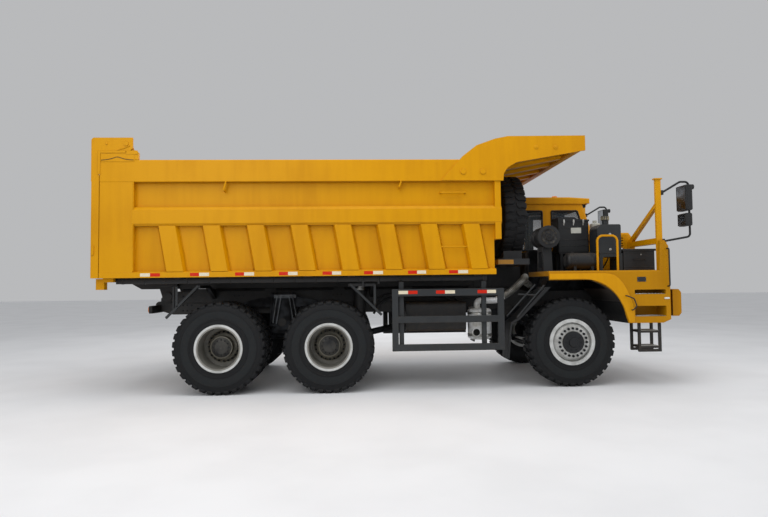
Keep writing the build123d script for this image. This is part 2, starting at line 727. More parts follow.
def ladder():
    """Folding-style access ladder under the right-hand steps, with its two grab handles."""
    y0, y1 = -FENDER_Y + 5, -FENDER_Y + 285
    low = LADDER_LOW
    sides = []
    for y in (y0, y1 - 30):
        loop = side_plate([(3600, low), (3960, low), (3960, 970), (3600, 970)], y, y + 30, corner=12)
        loop -= box(3640, 3920, y - 1, y + 31, low + 40, 970 + 1)
        sides.append(loop)
    treads = [box(3640, 3920, y0, y1, z, z + 34) for z in (585, 820)]
    y_face = -FENDER_Y
    off = y_face - 60
    x = COLUMN[1] - 25
    tall = pipe([(x, y_face + 2, 2110), (x, off, 2110), (x, off, 1530), (x, y_face, 1530)], 11, 30)
    bent = pipe(
        [(3410, y_face, 1390), (3410, off, 1390), (3520, off, 1345), (3560, off, 1230), (3500, off, 1172),
         (3500, y_face, 1172)],
        9, 20,
    )
    return fuse(sides, treads, tall, bent)


def access_ladders():
    return both(ladder())


# ---------------------------------------------------------------- cab
def cab_outline(inset):
    """Side profile of the cab with a raked windscreen, moved in by inset."""
    face = Polygon(
        (CAB_REAR, CAB_FLOOR), (CAB_REAR, CAB_EAVES), (3560, CAB_EAVES), (3860, 2150), (CAB_NOSE, CAB_FLOOR),
        align=None,
    )
    return offset(face, -inset, kind=Kind.INTERSECTION) if inset else face


def pane_face(outline, corner, grow=0):
    """Opening with rounded corners, or a pane or leaf made smaller than it."""
    face = profile_face(outline, corner)
    return offset(face, grow, kind=Kind.INTERSECTION) if grow else face


DOOR_OUTLINE = [(2870, 1830), (3660, 1830), (3660, 2420), (3490, 2990), (2870, 2990)]
DOOR_WINDOW = [(2960, 2200), (3590, 2200), (3590, 2400), (3430, 2920), (2960, 2920)]
SIDE_WINDOWS = (
    [(2960, 2200), (3620, 2200), (3620, 2380), (3450, 2940), (2960, 2940)],
    [(2200, 2200), (2780, 2200), (2780, 2940), (2200, 2940)],
)
REAR_WINDOW = [
    (CAB_INNER_Y + 140, 2250), (CAB_OUTER_Y - 140, 2250), (CAB_OUTER_Y - 140, 2920), (CAB_INNER_Y + 140, 2920),
]
CAB_CORNER_R = 50
SCREEN_MARGIN = 90


def screen_opening(depth, inward=0, shrink=0):
    """Windscreen block square to the raked glass, moved inward from its face."""
    top, low = Vector(3560, 0, CAB_EAVES), Vector(3860, 0, 2150)
    along = (low - top).normalized()
    middle = (top + low) / 2 + Vector(0, (CAB_INNER_Y + CAB_OUTER_Y) / 2, 0)
    plane = Plane(origin=middle, x_dir=(0, 1, 0), z_dir=(-along.Z, 0, along.X))
    width = CAB_OUTER_Y - CAB_INNER_Y - 2 * (SCREEN_MARGIN + shrink)
    height = (low - top).length - 2 * (SCREEN_MARGIN + shrink)
    pane = plane * Pos(0, 0, -inward - depth / 2) * RectangleRounded(width, height, WINDOW_R)
    return extrude(pane, depth)


def cab_shell():
    """Hollow cab with rounded corners, window and door openings."""
    width = CAB_OUTER_Y - CAB_INNER_Y
    shell = standing(cab_outline(0), CAB_INNER_Y, CAB_OUTER_Y)
    corners = shell.edges().filter_by(lambda e: abs(e.tangent_at(0.5).Z) > 0.5)
    shell = fillet(corners.filter_by(lambda e: e.length > CAB_WALL), CAB_CORNER_R)
    shell -= standing(cab_outline(CAB_WALL), CAB_INNER_Y + CAB_WALL, CAB_INNER_Y + width - CAB_WALL)
    outer_cut = (CAB_OUTER_Y - CAB_WALL - 5, CAB_OUTER_Y + 5)
    inner_cut = (CAB_INNER_Y - 5, CAB_INNER_Y + CAB_WALL + 5)
    shell -= standing(pane_face(DOOR_OUTLINE, DOOR_R), *outer_cut)
    shell -= standing(pane_face(SIDE_WINDOWS[1], WINDOW_R), *outer_cut)
    for outline in SIDE_WINDOWS:
        shell -= standing(pane_face(outline, WINDOW_R), *inner_cut)
    shell -= cross_plate(REAR_WINDOW, CAB_REAR - 5, CAB_REAR + CAB_WALL + 5, corner=WINDOW_R)
    shell -= screen_opening(2 * CAB_WALL + 20)
    feet = [box(x - 60, x + 60, RAIL_Y - 60, RAIL_Y + 60, RAIL_TOP - 60, CAB_FLOOR) for x in (2300, 3700)]
    return fuse(shell, feet)


def cab_roof():
    """Roof cap with a raised crown, rounded along its edges, and a front visor."""
    outline = [
        (CAB_REAR - 30, CAB_EAVES), (CAB_REAR - 30, CAB_EAVES + 70), (CAB_REAR + 60, CAB_ROOF),
        (3300, CAB_ROOF), (3690, CAB_EAVES + 95), (3690, CAB_EAVES),
    ]
    roof = side_plate(outline, CAB_INNER_Y - 30, CAB_OUTER_Y + 30)
    rims = roof.edges().filter_by(lambda e: abs(e.tangent_at(0.5).Y) < 0.1)
    return fillet(rims.filter_by(lambda e: e.center().Z > CAB_EAVES + 1), 30)


def cab_glass():
    """Fixed panes: windscreen, rear, two inner side panes and the pane behind the door."""
    inset = 20
    panes = [
        standing(pane_face(o, WINDOW_R, -FIT), CAB_INNER_Y + inset, CAB_INNER_Y + inset + GLASS_T)
        for o in SIDE_WINDOWS
    ]
    behind_door = pane_face(SIDE_WINDOWS[1], WINDOW_R, -FIT)
    panes.append(standing(behind_door, CAB_OUTER_Y - inset - GLASS_T, CAB_OUTER_Y - inset))
    rear = Plane.YZ.offset(CAB_REAR + inset) * pane_face(REAR_WINDOW, WINDOW_R, -FIT)
    panes.append(extrude(rear, GLASS_T, dir=(1, 0, 0)))
    panes.append(screen_opening(GLASS_T, inset + GLASS_T / 2, FIT))
    return fuse(panes)


DOOR_HINGE_X = 3668
DOOR_HINGE_Y = CAB_OUTER_Y + 28


def cab_door():
    """Left-hand door with its window opening, hinge knuckles and handle."""
    door = standing(pane_face(DOOR_OUTLINE, DOOR_R, -DOOR_GAP), CAB_OUTER_Y - CAB_WALL, CAB_OUTER_Y)
    door -= standing(pane_face(DOOR_WINDOW, WINDOW_R), CAB_OUTER_Y - CAB_WALL - 5, CAB_OUTER_Y + 5)
    hinges = []
    for z in (1950, 2300):
        hinges.append(bar((DOOR_HINGE_X, DOOR_HINGE_Y, z - 45), (DOOR_HINGE_X, DOOR_HINGE_Y, z + 45), 16))
        hinges.append(box(3560, DOOR_HINGE_X, CAB_OUTER_Y, DOOR_HINGE_Y + 8, z - 30, z + 30))
    handle = pressing(2910, 3010, CAB_OUTER_Y, CAB_OUTER_Y + 30, 2090, 2120, 10, Axis.Z)
    return fuse(door, hinges, handle)


def door_glass():
    """Fixed pane of the door."""
    return standing(pane_face(DOOR_WINDOW, WINDOW_R, -FIT), CAB_OUTER_Y - 28, CAB_OUTER_Y - 28 + GLASS_T)


def driver_seat():
    """Sprung seat: plinth, cushion, backrest and headrest."""
    mid = (CAB_INNER_Y + CAB_OUTER_Y) / 2
    floor = CAB_FLOOR + CAB_WALL
    plinth = box(2550, 2900, mid - 200, mid + 200, floor, floor + 260)
    cushion = pressing(2480, 2980, mid - 250, mid + 250, floor + 260, floor + 380, 45, Axis.Y)
    back = side_plate(
        [(2480, floor + 340), (2580, floor + 340), (2500, floor + 980), (2400, floor + 980)],
        mid - 240, mid + 240, corner=35,
    )
    head = pressing(2370, 2460, mid - 130, mid + 130, floor + 970, floor + 1150, 30, Axis.Y)
    return fuse(plinth, cushion, back, head)


def steering_console():
    """Dashboard across the front and a steering wheel on its column."""
    mid = (CAB_INNER_Y + CAB_OUTER_Y) / 2
    floor = CAB_FLOOR + CAB_WALL
    front = CAB_NOSE - CAB_WALL - 10
    dash = side_plate(
        [(3480, floor), (front, floor), (front - 20, 2150), (3560, 2200), (3440, 2100), (3500, 1950)],
        CAB_INNER_Y + CAB_WALL, CAB_OUTER_Y - CAB_WALL,
    )
    tilt = Vector(-0.45, 0, 0.89)
    hub = Vector(3290, mid, 2260)
    column = bar(tuple(hub - tilt * 460), tuple(hub), 28)
    wheel_plane = Plane(origin=hub, z_dir=tilt)
    ring = wheel_plane * Torus(210, 17)
    spokes = [wheel_plane * Rot(0, 0, a) * Pos(105, 0, 0) * Box(210, 34, 12) for a in (90, 210, 330)]
    return fuse(dash, column, ring, spokes)


# ---------------------------------------------------------------- deck equipment
INTAKE = (2350, 2330)     # axis (x, z) of the intake drum
CASE_LOW = 2100


def air_cleaner():
    """Filter box with a stepped lid on four legs, and the intake drum beside it."""
    case = pressing(2600, 3120, -1000, -700, CASE_LOW, 2600, 35, Axis.Z)
    lid = side_plate(
        [
            (2600, 2600), (3120, 2600), (3120, 2630), (2900, 2640), (2880, 2670), (2600, 2670),
        ], -1010, -690, corner=8,
    )
    legs = [
        box(x, x + 45, y, y + 45, DECK_Z, CASE_LOW)
        for x in (2640, 3035)
        for y in (-970, -775)
    ]
    tray = box(2620, 3100, -985, -715, CASE_LOW - 30, CASE_LOW)
    x, z = INTAKE
    profile = [(0, -1312), (120, -1312), (178, -1295), (178, -1270), (165, -1262), (165, -850), (0, -850)]
    intake = turned(profile, x, 0, z)
    duct = bar((x, -950, z), (2620, -900, z), 90)
    stand = cross_plate(
        [(-1230, DECK_Z), (-870, DECK_Z), (-920, z - 100), (-1180, z - 100)], x - 70, x + 70, corner=10,
    )
    stand -= cross_plate([(-1150, DECK_Z + 60), (-950, DECK_Z + 60), (-970, z - 230), (-1130, z - 230)],
                         x - 71, x + 71, corner=20)
    return fuse(case, lid, legs, tray, intake, duct, stand)


TANK_LOW = 2060


def oil_tank():
    """Rounded upright tank with a filler neck on an open stand."""
    outline = [(3130, TANK_LOW), (3510, TANK_LOW), (3510, 2520), (3190, 2520), (3130, 2450)]
    body = side_plate(outline, -1300, -980, corner=28)
    neck = bar((3300, -1200, 2515), (3300, -1200, 2590), 45)
    cap = bar((3300, -1200, 2590), (3300, -1200, 2660), 60)
    stand = side_plate([(3160, DECK_Z), (3530, DECK_Z), (3530, TANK_LOW), (3160, TANK_LOW)], -1290, -990)
    stand -= side_plate(
        [(3210, DECK_Z - 40), (3480, DECK_Z - 40), (3480, 2000), (3210, 2000)], -1300, -980, corner=30,
    )
    return fuse(body, neck, cap, stand)


def air_tank():
    """Lying air receiver with domed ends on two saddles."""
    y, z, radius = -1250, 1940, 130
    tank = drum((2610, y, z), (3150, y, z), radius, 60)
    saddles = []
    for x in (2740, 3020):
        block = box(x - 20, x + 20, y - 100, y + 100, DECK_Z, z - 60)
        saddles.append(block)
    return fuse(tank, saddles)


def battery_box():
    """Battery case with an overhanging lid."""
    case = pressing(3540, 4050, -1300, -780, DECK_Z, 2090, 15, Axis.Z)
    lid = fillet(box(3525, 4065, -1315, -765, 2090, 2125).edges().group_by(Axis.Z)[-1], 12)
    return fuse(case, lid)


POST_X = 4020
POST_Y = 1500
TUBE_R = 18


def mirror_post():
    """Right-hand mirror post with its cap plate."""
    post = pressing(POST_X - 45, POST_X + 45, -POST_Y - 25, -POST_Y + 25, DECK_Z, 3200, 8, Axis.Z)
    cap = box(POST_X - 60, POST_X + 60, -POST_Y - 40, -POST_Y + 40, 3195, 3215)
    return fuse(post, cap)


def deck_rail():
    """Right-hand mirror post, its brace, the deck beam and the hoop handrail."""
    beam = box(POST_X - 45, POST_X + 45, -POST_Y, -560, 2190, 2280)
    stub = box(POST_X - 45, POST_X + 45, -620, -560, DECK_Z, 2200)
    brace = cross_plate(
        [(-POST_Y, 2860), (-POST_Y, 2790), (-640, 2270), (-560, 2270), (-560, 2320)], POST_X - 25,
        POST_X + 25,
    )
    hoop = pipe(
        [(3080, -1400, DECK_Z), (3080, -1400, 2330), (3400, -1400, 2330), (3400, -1400, DECK_Z)], TUBE_R,
        90,
    )
    return fuse(mirror_post(), beam, stub, brace, hoop)


def deck_rails():
    """Deck guards and mirror posts of both sides."""
    return fuse(deck_rail(), other_side(mirror_post()))


def mirror_set():
    """Right-hand mirror arm with a main glass, a wide-angle glass and a lamp."""
    y = -POST_Y
    arm = pipe(
        [(POST_X + 60, y, 2985), (4380, y, 3160), (4520, y, 3160), (4520, y, 2300), (POST_X + 60, y, 2225)],
        16, 60,
    )
    roots = [box(POST_X + 45, POST_X + 80, y - 30, y + 30, z - 35, z + 35) for z in (2990, 2230)]
    main = pressing(4395, 4505, y - 140, y + 140, 2700, 3100, 24)
    wide = pressing(4395, 4505, y - 120, y + 120, 2460, 2660, 24)
    clamps = [box(4440, 4530, y - 20, y + 20, z - 15, z + 15) for z in (2780, 3020, 2560)]
    lamp = fuse(bar((4520, y, 3080), (4560, y, 3080), 12), bar((4555, y, 3080), (4590, y, 3080), 40))
    return fuse(arm, roots, main, wide, clamps, lamp)


def mirrors():
    return both(mirror_set())


# ---------------------------------------------------------------- under the side
GUARD_REAR = -170
GUARD_FRONT = 1530
GUARD_Y = 1620


GUARD_BARS = (
    # low z, high z
    (600, 700),
    (1020, 1120),
    (1420, 1530),
)


def side_guard():
    """Right-hand side guard: three bars, end posts and two inner legs from the frame."""
    y0, y1 = -GUARD_Y, -GUARD_Y + 60
    low, high = GUARD_BARS[0][0], GUARD_BARS[-1][1]
    bars = [pressing(GUARD_REAR, GUARD_FRONT, y0, y1, z0, z1, 8, Axis.X) for z0, z1 in GUARD_BARS]
    posts = [pressing(x, x + 95, y0, y1, low, high, 8, Axis.Z) for x in (GUARD_REAR, GUARD_FRONT - 95)]
    legs = []
    for x in (-60, 1200):
        legs.append(box(x, x + 70, y1, y1 + 50, low + 60, 1640))
        legs.append(box(x, x + 70, y1 + 50, -(RAIL_Y + RAIL_W / 2), 1455, 1515))
    return fuse(bars, posts, legs)


def side_guards():
    return both(side_guard())


def slung_tank(s, x0, x1, z0, z1):
    """Tank with rounded long edges hung on the rail by two straps; s is its side."""
    y0, y1 = RAIL_Y + RAIL_W / 2, 1320
    corners = [(s * (y0 + 40), z0), (s * y1, z0), (s * y1, z1), (s * (y0 + 40), z1)]
    body = cross_plate(corners, x0, x1, corner=60)
    straps = [box(x, x + 60, s * y0, s * (y0 + 130), z0 + 70, z1 - 70) for x in (x0 + 150, x1 - 210)]
    return fuse(body, straps)


def side_tanks():
    """Fuel tank on the left, hydraulic tank on the right, slung on the rails."""
    return fuse(slung_tank(-1, 60, 1000, 870, 1320), slung_tank(1, 60, 1200, 800, 1320))


def exhaust():
    """Muffler with domed ends, tail pipe, and the pipe up to the engine."""
    x, y = 1235, -1200
    muffler = drum((x, y, 730), (x, y, 1210), 185, 50)
    tail = bar((x - 95, y, 850), (x - 95, y - 220, 850), 62)
    tail -= bar((x - 95, y - 190, 850), (x - 95, y - 221, 850), 54)
    riser = pipe([(x - 40, y, 1200), (x - 40, y, 1330), (x + 260, y, 1330), (x + 400, y, 1400)], 50, 60)
    strap = box(x - 30, x + 30, y + 150, -(RAIL_Y + RAIL_W / 2), 1145, 1205)
    return fuse(muffler, tail, riser, strap)


GUARD_PLATE_BACK = 360    # top of the front flap behind the axle
FLAP_OUTLINE = (          # (behind the axle, height) down the back and up the front
    (395, 1535), (315, 1535), (815, 1040), (925, 980), (945, 880), (985, 450),
    (1005, 450), (970, 890), (950, 1000), (845, 1070),
)
ROD_Y = 1450              # bracket rods over the outer rear tyres
ROD_TOP = 1600
ROD_FOOT = 1140


def rod_bracket(arm_x, slant, upright):
    """Cross arm from the rail with a slanted rod and an upright over the tandem."""
    rail_face = RAIL_Y + RAIL_W / 2
    x0, x1 = sorted((arm_x - 30, arm_x + 30))
    arm = cross_plate(
        [(-rail_face, RAIL_TOP - 130), (-rail_face, RAIL_TOP - 20), (-900, ROD_TOP + 20),
         (-ROD_Y - 30, ROD_TOP + 20), (-ROD_Y - 30, ROD_TOP - 20), (-900, ROD_TOP - 30)], x0, x1,
    )
    top_x, foot_x = slant
    beam = box(
        min(top_x, arm_x) - 30, max(top_x, arm_x) + 30, -ROD_Y - 30, -ROD_Y + 30, ROD_TOP - 20,
        ROD_TOP + 20,
    )
    rod = bar((top_x, -ROD_Y, ROD_TOP), (foot_x, -ROD_Y, ROD_FOOT), 20)
    share = (upright - top_x) / (foot_x - top_x)
    drop = box(
        upright - 15, upright + 15, -ROD_Y - 15, -ROD_Y + 15, ROD_TOP - share * (ROD_TOP - ROD_FOOT),
        ROD_TOP,
    )
    return fuse(arm, beam, rod, drop)


def mudguards():
    """Angled flaps behind the front wheels and bracket rods at the tandem."""
    rail_face = -(RAIL_Y + RAIL_W / 2)
    flap = [(FRONT_AXLE_X - back, z) for back, z in FLAP_OUTLINE]
    panel = side_plate(flap, -1500, -1130)
    x = FRONT_AXLE_X - GUARD_PLATE_BACK - 15
    stay = bar((x, -1140, 1505), (x, rail_face - 15, 1405), 25)
    stay += box(x - 40, x + 40, rail_face - 20, rail_face, 1365, 1445)
    stay += box(x - 55, x + 60, -1170, -1130, 1470, 1535)
    rear = rod_bracket(REAR_AXLE_X - 340, (REAR_AXLE_X - 340, REAR_AXLE_X - 820), REAR_AXLE_X - 710)
    middle = rod_bracket(MIDDLE_AXLE_X + 670, (MIDDLE_AXLE_X + 320, MIDDLE_AXLE_X + 800), MIDDLE_AXLE_X + 690)
    return both(fuse(panel, stay, rear, middle))


def spare_carrier():
    """Platform behind the cab that carries the upright spare wheel."""
    deck = box(1500, 1990, -1420, 480, 1890, SPARE_DECK)
    chocks = []
    for s in (-1, 1):
        near, far = SPARE_Y + s * 60, SPARE_Y + s * 420
        wedge = cross_plate(
            [(near, SPARE_DECK), (far, SPARE_DECK), (far, SPARE_DECK + 140), (near, SPARE_DECK + 40)],
            SPARE_X - 150, SPARE_X + 150,
        )
        chocks.append(wedge - bar((SPARE_X - 200, SPARE_Y, SPARE_Z), (SPARE_X + 200, SPARE_Y, SPARE_Z), TYRE_R))
    legs = [
        box(x, x + 90, s * RAIL_Y - 50, s * RAIL_Y + 50, RAIL_TOP, 1890)
        for x in (1510, 1890) for s in (-1, 1)
    ]
    frame = box(1500, 1530, -760, -680, 1980, 2900)
    stud = bar((1530, SPARE_Y, SPARE_Z), (SPARE_X + 80, SPARE_Y, SPARE_Z), 45)
    clamp = bar((SPARE_X + 36, SPARE_Y, SPARE_Z), (SPARE_X + 56, SPARE_Y, SPARE_Z), 150)
    return fuse(deck, chocks, legs, frame, stud, clamp)


SPARE_X = 1805
SPARE_Y = -720
SPARE_DECK = 1980
SPARE_Z = SPARE_DECK + TYRE_R + 30


def spare_turn(shape):
    """Turns a wheel made about a cross axis so that its axis lies fore and aft."""
    return Pos(SPARE_X, SPARE_Y, SPARE_Z) * Rot(0, 0, -90) * Pos(0, 0, -AXLE_Z) * shape


def spare_tyre():
    return spare_turn(tyre(0, 0))


def spare_rim():
    out = RIM_HALF + FLANGE_T
    inner_r = BEAD_R - BARREL_T
    profile = [
        (120, 20), (inner_r, 20), (inner_r, -out), (FLANGE_R, -out), (FLANGE_R, -RIM_HALF),
        (BEAD_R, -RIM_HALF), (BEAD_R, RIM_HALF), (FLANGE_R, RIM_HALF), (FLANGE_R, out),
        (inner_r, out), (inner_r, 36), (120, 36),
    ]
    return spare_turn(turned(profile, 0, 0, AXLE_Z))


BEACON = (3230, 950)
WORK_LAMPS_Y = (520, 1380)
REAR_LAMPS_Y = (450, 640, 830)


def lamps():
    """Lenses: headlamps, beacon dome, roof work lamps and tail lamps."""
    heads = [cross_plate(lamp_corners(s, FIT), BUMPER_X - 40, BUMPER_X - 15, corner=LAMP_R) for s in (-1, 1)]
    x, y = BEACON
    beacon = fillet(bar((x, y, CAB_ROOF + 30), (x, y, CAB_ROOF + 110), 60).edges().group_by(Axis.Z)[-1], 25)
    work = [box(3655, 3666, y - 60, y + 60, CAB_EAVES - 52, CAB_EAVES - 8) for y in WORK_LAMPS_Y]
    x = FRAME_REAR - 50
    tail = [bar((x, s * y, 1240), (x - 20, s * y, 1240), 50) for s in (-1, 1) for y in REAR_LAMPS_Y]
    return fuse(heads, beacon, work, tail)


def lamp_housings():
    """Black bodies behind the lenses, the beacon's foot and the tail-lamp bar."""
    buckets = [
        cross_plate(lamp_corners(s, 12), BUMPER_X - 100, BUMPER_X - 40, corner=LAMP_R - 12)
        for s in (-1, 1)
    ]
    x, y = BEACON
    foot = bar((x, y, CAB_ROOF), (x, y, CAB_ROOF + 30), 75)
    work = [pressing(3590, 3655, y - 70, y + 70, CAB_EAVES - 60, CAB_EAVES, 12, Axis.X) for y in WORK_LAMPS_Y]
    x = FRAME_REAR
    inner = RAIL_Y - RAIL_W / 2
    tail_bar = pressing(x - 50, x, inner, 900, 1180, 1300, 20, Axis.X)
    return fuse(buckets, foot, work, both(tail_bar))


# ---------------------------------------------------------------- steering
KNUCKLE_GAP = 6


def knuckle():
    """Left steering knuckle: fork round the kingpin boss, spindle and steering arm."""
    x, z = FRONT_AXLE_X, AXLE_Z
    ears = []
    for low, high in ((z - 130, z - 75 - KNUCKLE_GAP), (z + 75 + KNUCKLE_GAP, z + 130)):
        ears.append(bar((x, KINGPIN_Y, low), (x, KINGPIN_Y, high), 75))
        ears.append(box(x - 60, x + 60, KINGPIN_Y, KINGPIN_Y + 130, low, high))
    web = box(x - 75, x + 75, KINGPIN_Y + 90, KINGPIN_Y + 140, z - 130, z + 130)
    spindle = bar((x, KINGPIN_Y + 130, z), (x, FRONT_WHEEL_Y + 130, z), SPINDLE_R)
    arm_y = KINGPIN_Y - 40
    arm = flat_plate(
        [
            (x + 20, KINGPIN_Y + 40), (x + 20, KINGPIN_Y - 60), (x - STEER_ARM, arm_y - 40),
            (x - STEER_ARM, arm_y + 40),
        ],
        z - 130, z - 95,
    )
    eye = bar((x - STEER_ARM, arm_y, z - 130), (x - STEER_ARM, arm_y, z - 95), 45)
    body = fuse(ears, web, spindle, arm, eye)
    body -= bar((x, KINGPIN_Y, z - 140), (x, KINGPIN_Y, z + 140), 28 + FIT)
    return body


def tie_rod():
    """Cross rod between the two steering arms with a ball joint at each end."""
    x, y = FRONT_AXLE_X - STEER_ARM, KINGPIN_Y - 40
    half = 34
    z = AXLE_Z - 130 - FIT - half
    rod = bar((x, -y, z), (x, y, z), 24)
    ends = [bar((x, s * y, z - half), (x, s * y, z + half), 36) for s in (-1, 1)]
    return fuse(rod, ends)


# ---------------------------------------------------------------- dump body
def rib(x):
    """Slanted side rib: a tapered hollow pressing between the bottom and belt rails."""
    top, low = BELT_LOW + 5, BODY_BOTTOM + 85
    foot = x + RIB_LEAN

    def section(grow):
        return Polygon(
            (x - grow, top), (x + RIB_W + grow, top), (
                foot + RIB_W + grow, low,
            ), (foot - grow, low), align=None,
        )

    wide = Plane.XZ.offset(1 - SKIN_Y) * section(RIB_FLARE)
    narrow = Plane.XZ.offset(8 - BODY_HALF_W) * section(0)
    return loft([wide, narrow])


def grab_rods():
    """Bars and hooks welded to the left side wall: a step, a grab bar and two rope hooks."""
    y = BODY_HALF_W - 30
    skin = SKIN_Y - 2
    grab = pipe([(580, skin, 2980), (580, y, 2980), (960, y, 2980), (960, skin, 2980)], 12, 30)
    step = bar((560, y - 5, 2160), (985, y - 5, 2160), 10)
    hooks = [bar((x, y, RAIL_LOW + 5), (x - 30, y - 30, RAIL_LOW - 120), 11) for x in (-2620, -20)]
    return fuse(grab, step, hooks)


def post_cap():
    """Cap plate over the rear corner post with its lug; its lower edge sweeps up in an arch."""
    y0, y1 = SKIN_Y + 30, BODY_HALF_W
    top = GATE_ARM_LOW - 12
    front = POST_FRONT + 20
    lower = SIDE_TOP - 10
    outline = make_face(
        [
            Polyline(
                (-4330, lower), (BODY_REAR, lower), (BODY_REAR, top), (front, top), (front, lower),
                (-4050, lower),
            ),
            ThreePointArc((-4050, lower), (-4190, lower + 50), (-4330, lower)),
        ]
    )
    plate = standing(outline, y0, y1)
    lug = side_plate([
        (front - 20, lower + 10), (front + 60, lower + 10), (front + 60, top - 10), (front + 20, top + 26),
        (front - 20, top + 26),
    ],
                     y0 + 20, y1, corner=10)
    return fuse(plate, lug)


def body_side():
    """Left side wall: skin, bottom rail, belt rail, top rail, corner post, ribs and bars."""
    skin = box(BODY_REAR, BODY_FRONT, SKIN_Y - SKIN, SKIN_Y, FLOOR_Z - FLOOR_T, SIDE_TOP - 20)
    bottom = cross_plate(
        [(SKIN_Y - 40, BODY_BOTTOM), (BODY_HALF_W, BODY_BOTTOM), (BODY_HALF_W, BODY_BOTTOM + 75),
         (BODY_HALF_W - 40, BODY_BOTTOM + 90), (SKIN_Y - 40, BODY_BOTTOM + 90)],
        BODY_REAR, BODY_FRONT,
    )
    belt = cross_plate(
        [(SKIN_Y - 5, BELT_LOW), (BODY_HALF_W - 25, BELT_LOW), (BODY_HALF_W, BELT_LOW + 35),
         (BODY_HALF_W, BELT_HIGH - 45), (BODY_HALF_W - 35, BELT_HIGH), (SKIN_Y - 5, BELT_HIGH)],
        POST_FRONT - 20, BODY_FRONT + 100,
    )
    top = cross_plate(
        [(SKIN_Y - 60, RAIL_LOW + 40), (SKIN_Y - 20, RAIL_LOW), (BODY_HALF_W, RAIL_LOW),
         (BODY_HALF_W, SIDE_TOP), (SKIN_Y - 60, SIDE_TOP)],
        BODY_REAR, BODY_FRONT, corner=12,
    )
    post = box(BODY_REAR, POST_FRONT, SKIN_Y - 40, BODY_HALF_W - 4, BODY_BOTTOM, SIDE_TOP)
    ribs = [rib(BELT_X0 + i * RIB_PITCH) for i in range(RIB_COUNT)]
    foot = box(BODY_REAR - 100, BODY_REAR + 20, 1450, 1560, BODY_BOTTOM - 170, BODY_BOTTOM - 8)
    foot += box(BODY_REAR, BODY_REAR + 150, 1450, 1560, BODY_BOTTOM - 60, FLOOR_Z - FLOOR_T + 5)
    return fuse(skin, bottom, belt, top, post, ribs, foot, grab_rods(), post_cap())


FRONT_WALL_X = BODY_FRONT - SKIN
SHOULDER_Z = 2270     # above this the front wall's frame stands forward


WALL_POSTS_Y = (-1150, -575, 0, 575, 1150)


def front_wall():
    """Front wall of the body with rails and upright ribs."""
    half = SKIN_Y
    x = BODY_FRONT
    skin = box(FRONT_WALL_X, x, -half, half, FLOOR_Z - FLOOR_T, SIDE_TOP)
    rails = [
        side_plate(
            [(x, z0), (x + 60, z0), (x + 90, z0 + 30), (x + 90, z1 - 30), (x + 60, z1), (x, z1)], -half,
            half,
        )
        for z0, z1 in ((SHOULDER_Z, SHOULDER_Z + 160), (RAIL_LOW, SIDE_TOP))
    ]
    corner_posts = both(box(x, x + 90, half - 40, BODY_HALF_W - 4, SHOULDER_Z, SIDE_TOP))
    ribs = []
    for y in WALL_POSTS_Y:
        ribs.append(
            flat_plate(
                [(x, y - 75), (x + 80, y - 50), (x + 80, y + 50), (x, y + 75)], SHOULDER_Z + 100,
                RAIL_LOW + 20,
            ),
        )
        ribs.append(
            flat_plate(
                [(x, y - 75), (x + 70, y - 50), (x + 70, y + 50), (x, y + 75)], FLOOR_Z, SHOULDER_Z + 20,
            ),
        )
    return fuse(skin, rails, corner_posts, ribs)


def body_floor():
    """Floor plate of the load space."""
    return box(BODY_REAR, BODY_FRONT, -SKIN_Y + 10, SKIN_Y - 10, FLOOR_Z - FLOOR_T, FLOOR_Z)


def pivot_bracket():
    """Left hinge bracket of the body, bored for the pivot pin."""
    y0 = RAIL_Y + RAIL_W / 2 + 20
    y1 = y0 + 65
    low = PIVOT_Z + 180
    bracket = side_plate(
        [(PIVOT_X - 150, low), (PIVOT_X + 150, low), (PIVOT_X + 95, PIVOT_Z), (PIVOT_X - 95, PIVOT_Z)], y0, y1,
    )
    bracket += bar((PIVOT_X, y0, PIVOT_Z), (PIVOT_X, y1, PIVOT_Z), 95)
    return bracket - bar((PIVOT_X, y0 - 5, PIVOT_Z), (PIVOT_X, y1 + 5, PIVOT_Z), PIVOT_R + FIT)


def hoist_ears(top):
    """Pair of ears on the left that hold the rod's ball head between them."""
    x, z = HOIST_EYE
    outline = [(x - 120, top), (x + 120, top), (x + 50, z - 60), (x - 50, z - 60)]
    return fuse([
        side_plate(outline, HOIST_Y + dy, HOIST_Y + dy + 16)
        for dy in (-EAR_GAP - 16, EAR_GAP)
    ])


def body_underframe():
    """Black frame under the floor: long beams, tapered cross members, hinge brackets and hoist ears."""
    top = FLOOR_Z - FLOOR_T
    y0, y1 = RAIL_Y - RAIL_W / 2, RAIL_Y + RAIL_W / 2
    x0, x1 = BODY_REAR + 10, BODY_FRONT - 100
    beam = side_plate(
        [(x0, top), (x0, BEAM_BOTTOM + 90), (x0 + 160, BEAM_BOTTOM), (x1, BEAM_BOTTOM), (x1, top)], y0, y1,
    )
    low = BODY_BOTTOM - 60
    side, shoulder = SKIN_Y - 45, SKIN_Y - 300
    ends = [(-side, top), (-side, top - 40), (-shoulder, low), (shoulder, low), (side, top - 40), (side, top)]
    ribs = []
    for i in range(RIB_COUNT):
        x = BELT_X0 + i * RIB_PITCH + RIB_LEAN + RIB_W / 2
        ribs.append(cross_plate(ends, x - 60, x + 60))
    ribs.append(box(PIVOT_X - 160, PIVOT_X + 160, -600, 600, PIVOT_Z + 170, top))
    return fuse(both(fuse(beam, pivot_bracket(), hoist_ears(top))), ribs)


